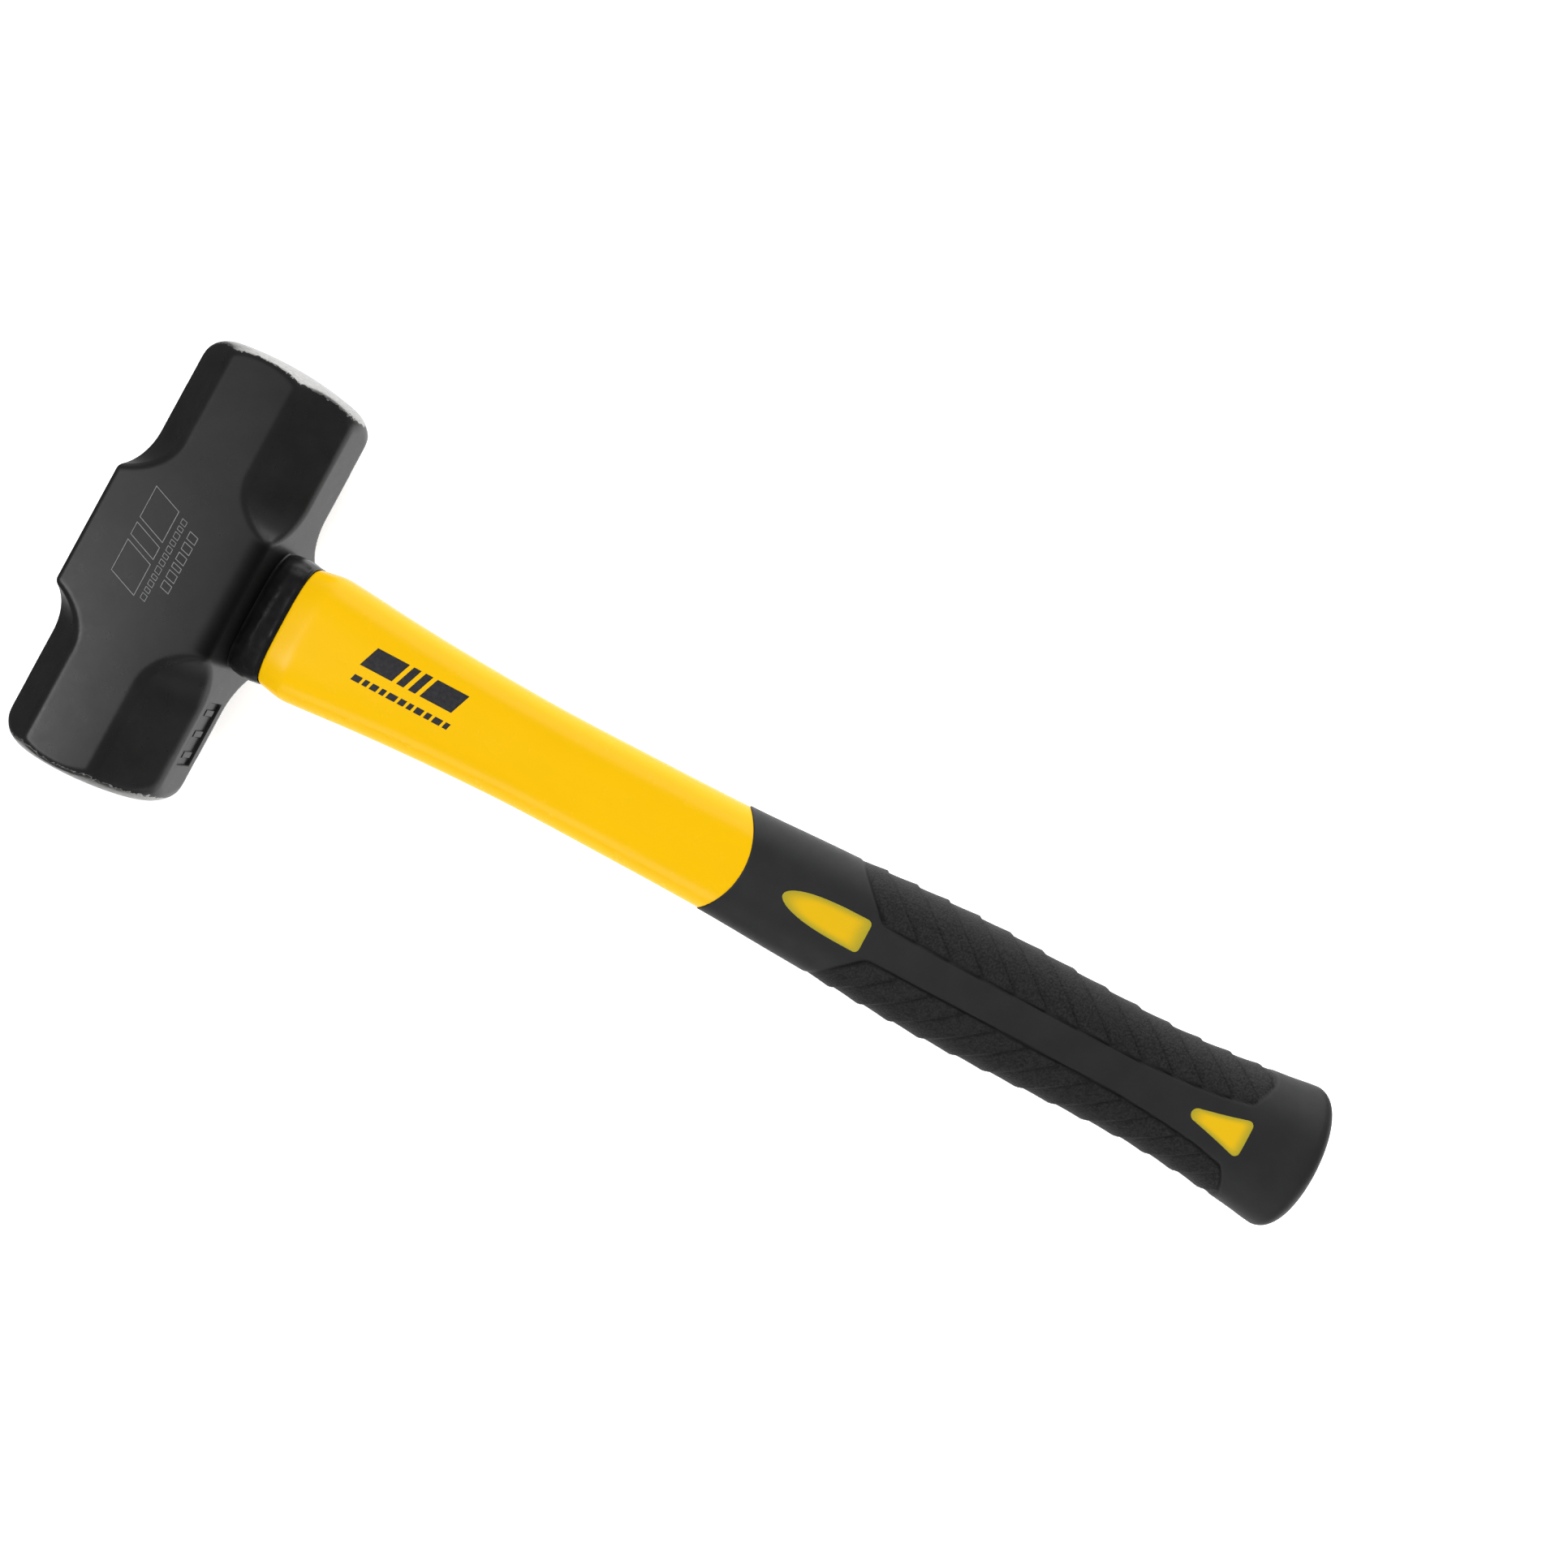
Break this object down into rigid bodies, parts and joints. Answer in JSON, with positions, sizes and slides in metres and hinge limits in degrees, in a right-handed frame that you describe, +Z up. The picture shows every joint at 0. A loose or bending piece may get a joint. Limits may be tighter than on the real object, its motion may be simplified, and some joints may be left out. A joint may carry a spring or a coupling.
{
  "type": "hand sledgehammer",
  "caption": "Short-handled sledgehammer: double-faced steel head with bevelled polls, epoxied on a fibreglass core in a moulded jacket with a rubber collar and grip.",
  "frame": {"origin": "centre of the head's lower cheek, on the surface that the hammer rests on when it lies on its side", "axes": "+X along the handle from the head to the butt, +Y along the head between its striking faces, +Z up through the head's thickness"},
  "size_m": [0.367, 0.1248, 0.0408],
  "materials": {
    "black_steel": "satin black paint, ground bright on the striking faces",
    "epoxy": "cast black epoxy, slightly glossy",
    "fibreglass": "sawn pultruded fibreglass, fine lengthwise fibres",
    "collar_rubber": "satin black rubber with a slightly uneven surface",
    "yellow_jacket": "smooth satin-gloss yellow plastic with a plain black printed mark",
    "grip_rubber": "matte black rubber, smooth sides and two grained gripping panels"
  },
  "bodies": {
    "root": {"head": "black_steel", "eye_epoxy": "epoxy", "core_rod": "fibreglass", "collar": "collar_rubber", "handle_jacket": "yellow_jacket", "grip": "grip_rubber"}
  },
  "joints": []
}
